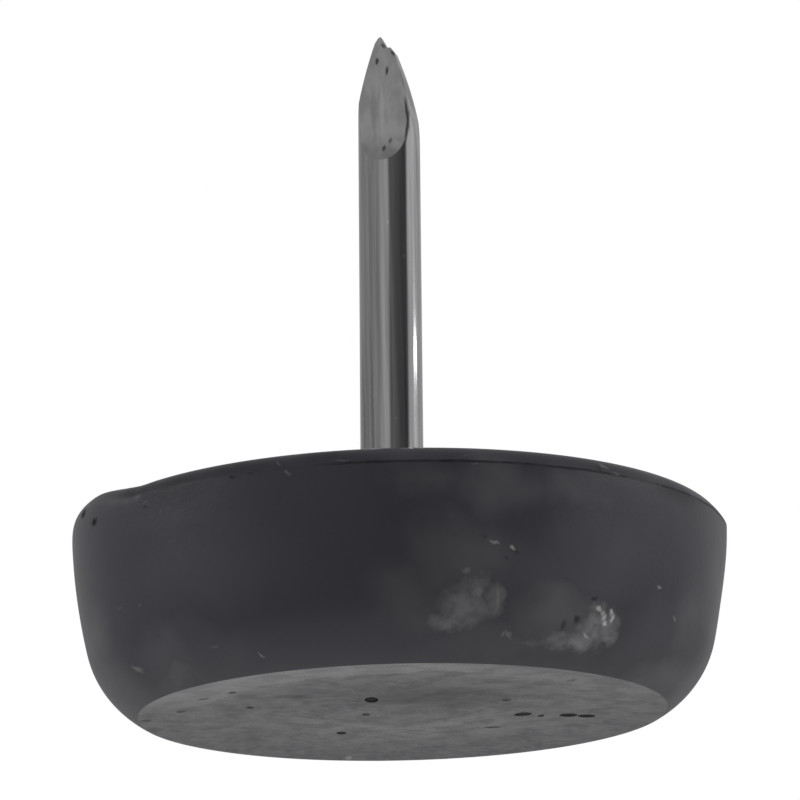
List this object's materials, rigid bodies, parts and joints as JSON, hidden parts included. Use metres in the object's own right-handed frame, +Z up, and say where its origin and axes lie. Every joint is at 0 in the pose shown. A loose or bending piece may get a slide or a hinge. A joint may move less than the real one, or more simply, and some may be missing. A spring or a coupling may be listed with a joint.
{
  "type": "nail-in furniture glide",
  "caption": "Round black plastic furniture glide with a rolled rim, rounded shoulder and flat sole, moulded around a steel wire nail with a pinched point.",
  "frame": {"origin": "middle of the sole, where the glide stands on the floor", "axes": "+Z up along the nail to its tip, -Y the side that faces the viewer, +X to the viewer's right"},
  "size_m": [0.02, 0.02, 0.0219],
  "materials": {
    "black_plastic": "satin moulded charcoal black, scuffed",
    "steel_wire": "bright drawn wire with dull pinched facets"
  },
  "bodies": {
    "root": {"glide_foot": "black_plastic", "nail": "steel_wire"}
  },
  "joints": []
}
